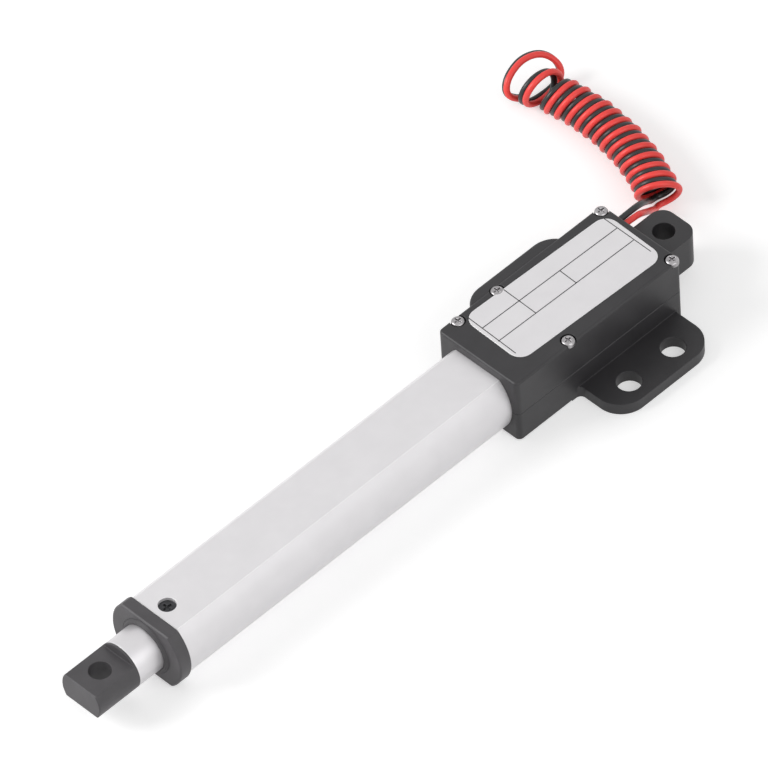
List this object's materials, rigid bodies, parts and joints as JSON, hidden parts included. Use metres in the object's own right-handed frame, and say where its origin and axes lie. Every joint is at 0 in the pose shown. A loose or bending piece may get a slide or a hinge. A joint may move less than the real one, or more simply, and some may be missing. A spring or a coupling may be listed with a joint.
{
  "type": "micro linear actuator",
  "caption": "Slim linear actuator: a rod slides out of a flatted aluminium tube in front of a black gear housing with a rear pivot lug, a side flange and curled leads.",
  "frame": {"origin": "on the axis of the rear pivot hole, at the height of the rod's axis", "axes": "+X along the rod to its tip, +Y towards the side flange, +Z towards the top face along the pivot holes"},
  "size_m": [0.1582, 0.0683, 0.0141],
  "materials": {
    "black_plastic": "fine moulded texture, satin",
    "anodised_aluminium": "satin anodised",
    "rod_metal": "turned and polished",
    "screw_steel": "nickel plated",
    "plated_steel": "plated",
    "gear_steel": "sintered",
    "bearing_steel": "polished",
    "dark_steel": "blackened",
    "brass": "machined",
    "white_nylon": "moulded",
    "dark_magnet": "bonded ferrite",
    "wound_core": "enamelled winding on a steel core",
    "board_green": "solder mask",
    "dark_resin": "moulded resin",
    "black_rubber": "matt",
    "red_insulation": "soft gloss",
    "black_insulation": "soft gloss"
  },
  "bodies": {
    "housing": {"lower_housing": "black_plastic", "upper_housing": "black_plastic", "housing_screws": "screw_steel", "motor_can": "plated_steel", "motor_end_cap": "white_nylon", "motor_terminals": "brass", "motor_magnets": "dark_magnet", "rear_gear_plate": "brass", "front_gear_plate": "brass", "gearbox_pillars": "plated_steel", "gear_post": "plated_steel", "bearing_outer_ring": "bearing_steel", "tube": "anodised_aluminium", "end_cap": "black_plastic", "cap_lock_screw": "dark_steel", "wiper_seal": "black_rubber", "sensor_strip": "board_green", "rear_end_sensor": "dark_resin", "front_end_sensor": "dark_resin", "control_board": "board_green", "diodes": "dark_resin", "wire_grommet": "black_rubber", "lead_red": "red_insulation", "lead_black": "black_insulation", "lead_coil": "red_insulation", "lead_end_loop": "red_insulation"},
    "rotor": {"motor_rotor": "wound_core", "motor_pinion": "brass"},
    "first_gear_body": {"first_gear": "gear_steel"},
    "second_gear_body": {"second_gear": "gear_steel"},
    "third_gear_body": {"third_gear": "gear_steel"},
    "screw_body": {"output_wheel": "brass", "output_shaft": "plated_steel", "lead_screw": "screw_steel", "bearing_inner_ring": "bearing_steel"},
    "ball_set": {"bearing_balls": "bearing_steel"},
    "rod_body": {"drive_nut": "white_nylon", "nut_magnet": "dark_magnet", "rod": "rod_metal", "rod_end": "black_plastic"}
  },
  "joints": [
    {"name": "rod_slide", "type": "slide", "parent": "housing", "child": "rod_body", "axis": [1, 0, 0], "range_m": [0, 0.075]},
    {"name": "motor_spin", "type": "hinge", "parent": "housing", "child": "rotor", "pos_m": [0.0225, 0, 0], "axis": [-1, 0, 0], "range_deg": [0, 616918.22]},
    {"name": "first_gear_spin", "type": "hinge", "parent": "housing", "child": "first_gear_body", "pos_m": [0.0225, -0.0054, 0], "axis": [-1, 0, 0], "range_deg": [-237276.24, 0]},
    {"name": "second_gear_spin", "type": "hinge", "parent": "housing", "child": "second_gear_body", "pos_m": [0.0225, 0, 0], "axis": [-1, 0, 0], "range_deg": [0, 91260.09]},
    {"name": "third_gear_spin", "type": "hinge", "parent": "housing", "child": "third_gear_body", "pos_m": [0.0225, -0.0054, 0], "axis": [-1, 0, 0], "range_deg": [-35100.04, 0]},
    {"name": "screw_spin", "type": "hinge", "parent": "housing", "child": "screw_body", "pos_m": [0.0225, 0, 0], "axis": [-1, 0, 0], "range_deg": [0, 13500.01]},
    {"name": "ball_orbit", "type": "hinge", "parent": "housing", "child": "ball_set", "pos_m": [0.0225, 0, 0], "axis": [-1, 0, 0], "range_deg": [0, 5512.51]}
  ],
  "couplings": [
    {"joint": "motor_spin", "follows": "rod_slide", "rad_per_m": 143560},
    {"joint": "first_gear_spin", "follows": "rod_slide", "rad_per_m": -55217},
    {"joint": "second_gear_spin", "follows": "rod_slide", "rad_per_m": 21237},
    {"joint": "third_gear_spin", "follows": "rod_slide", "rad_per_m": -8168.1},
    {"joint": "screw_spin", "follows": "rod_slide", "rad_per_m": 3141.6},
    {"joint": "ball_orbit", "follows": "rod_slide", "rad_per_m": 1282.8}
  ]
}
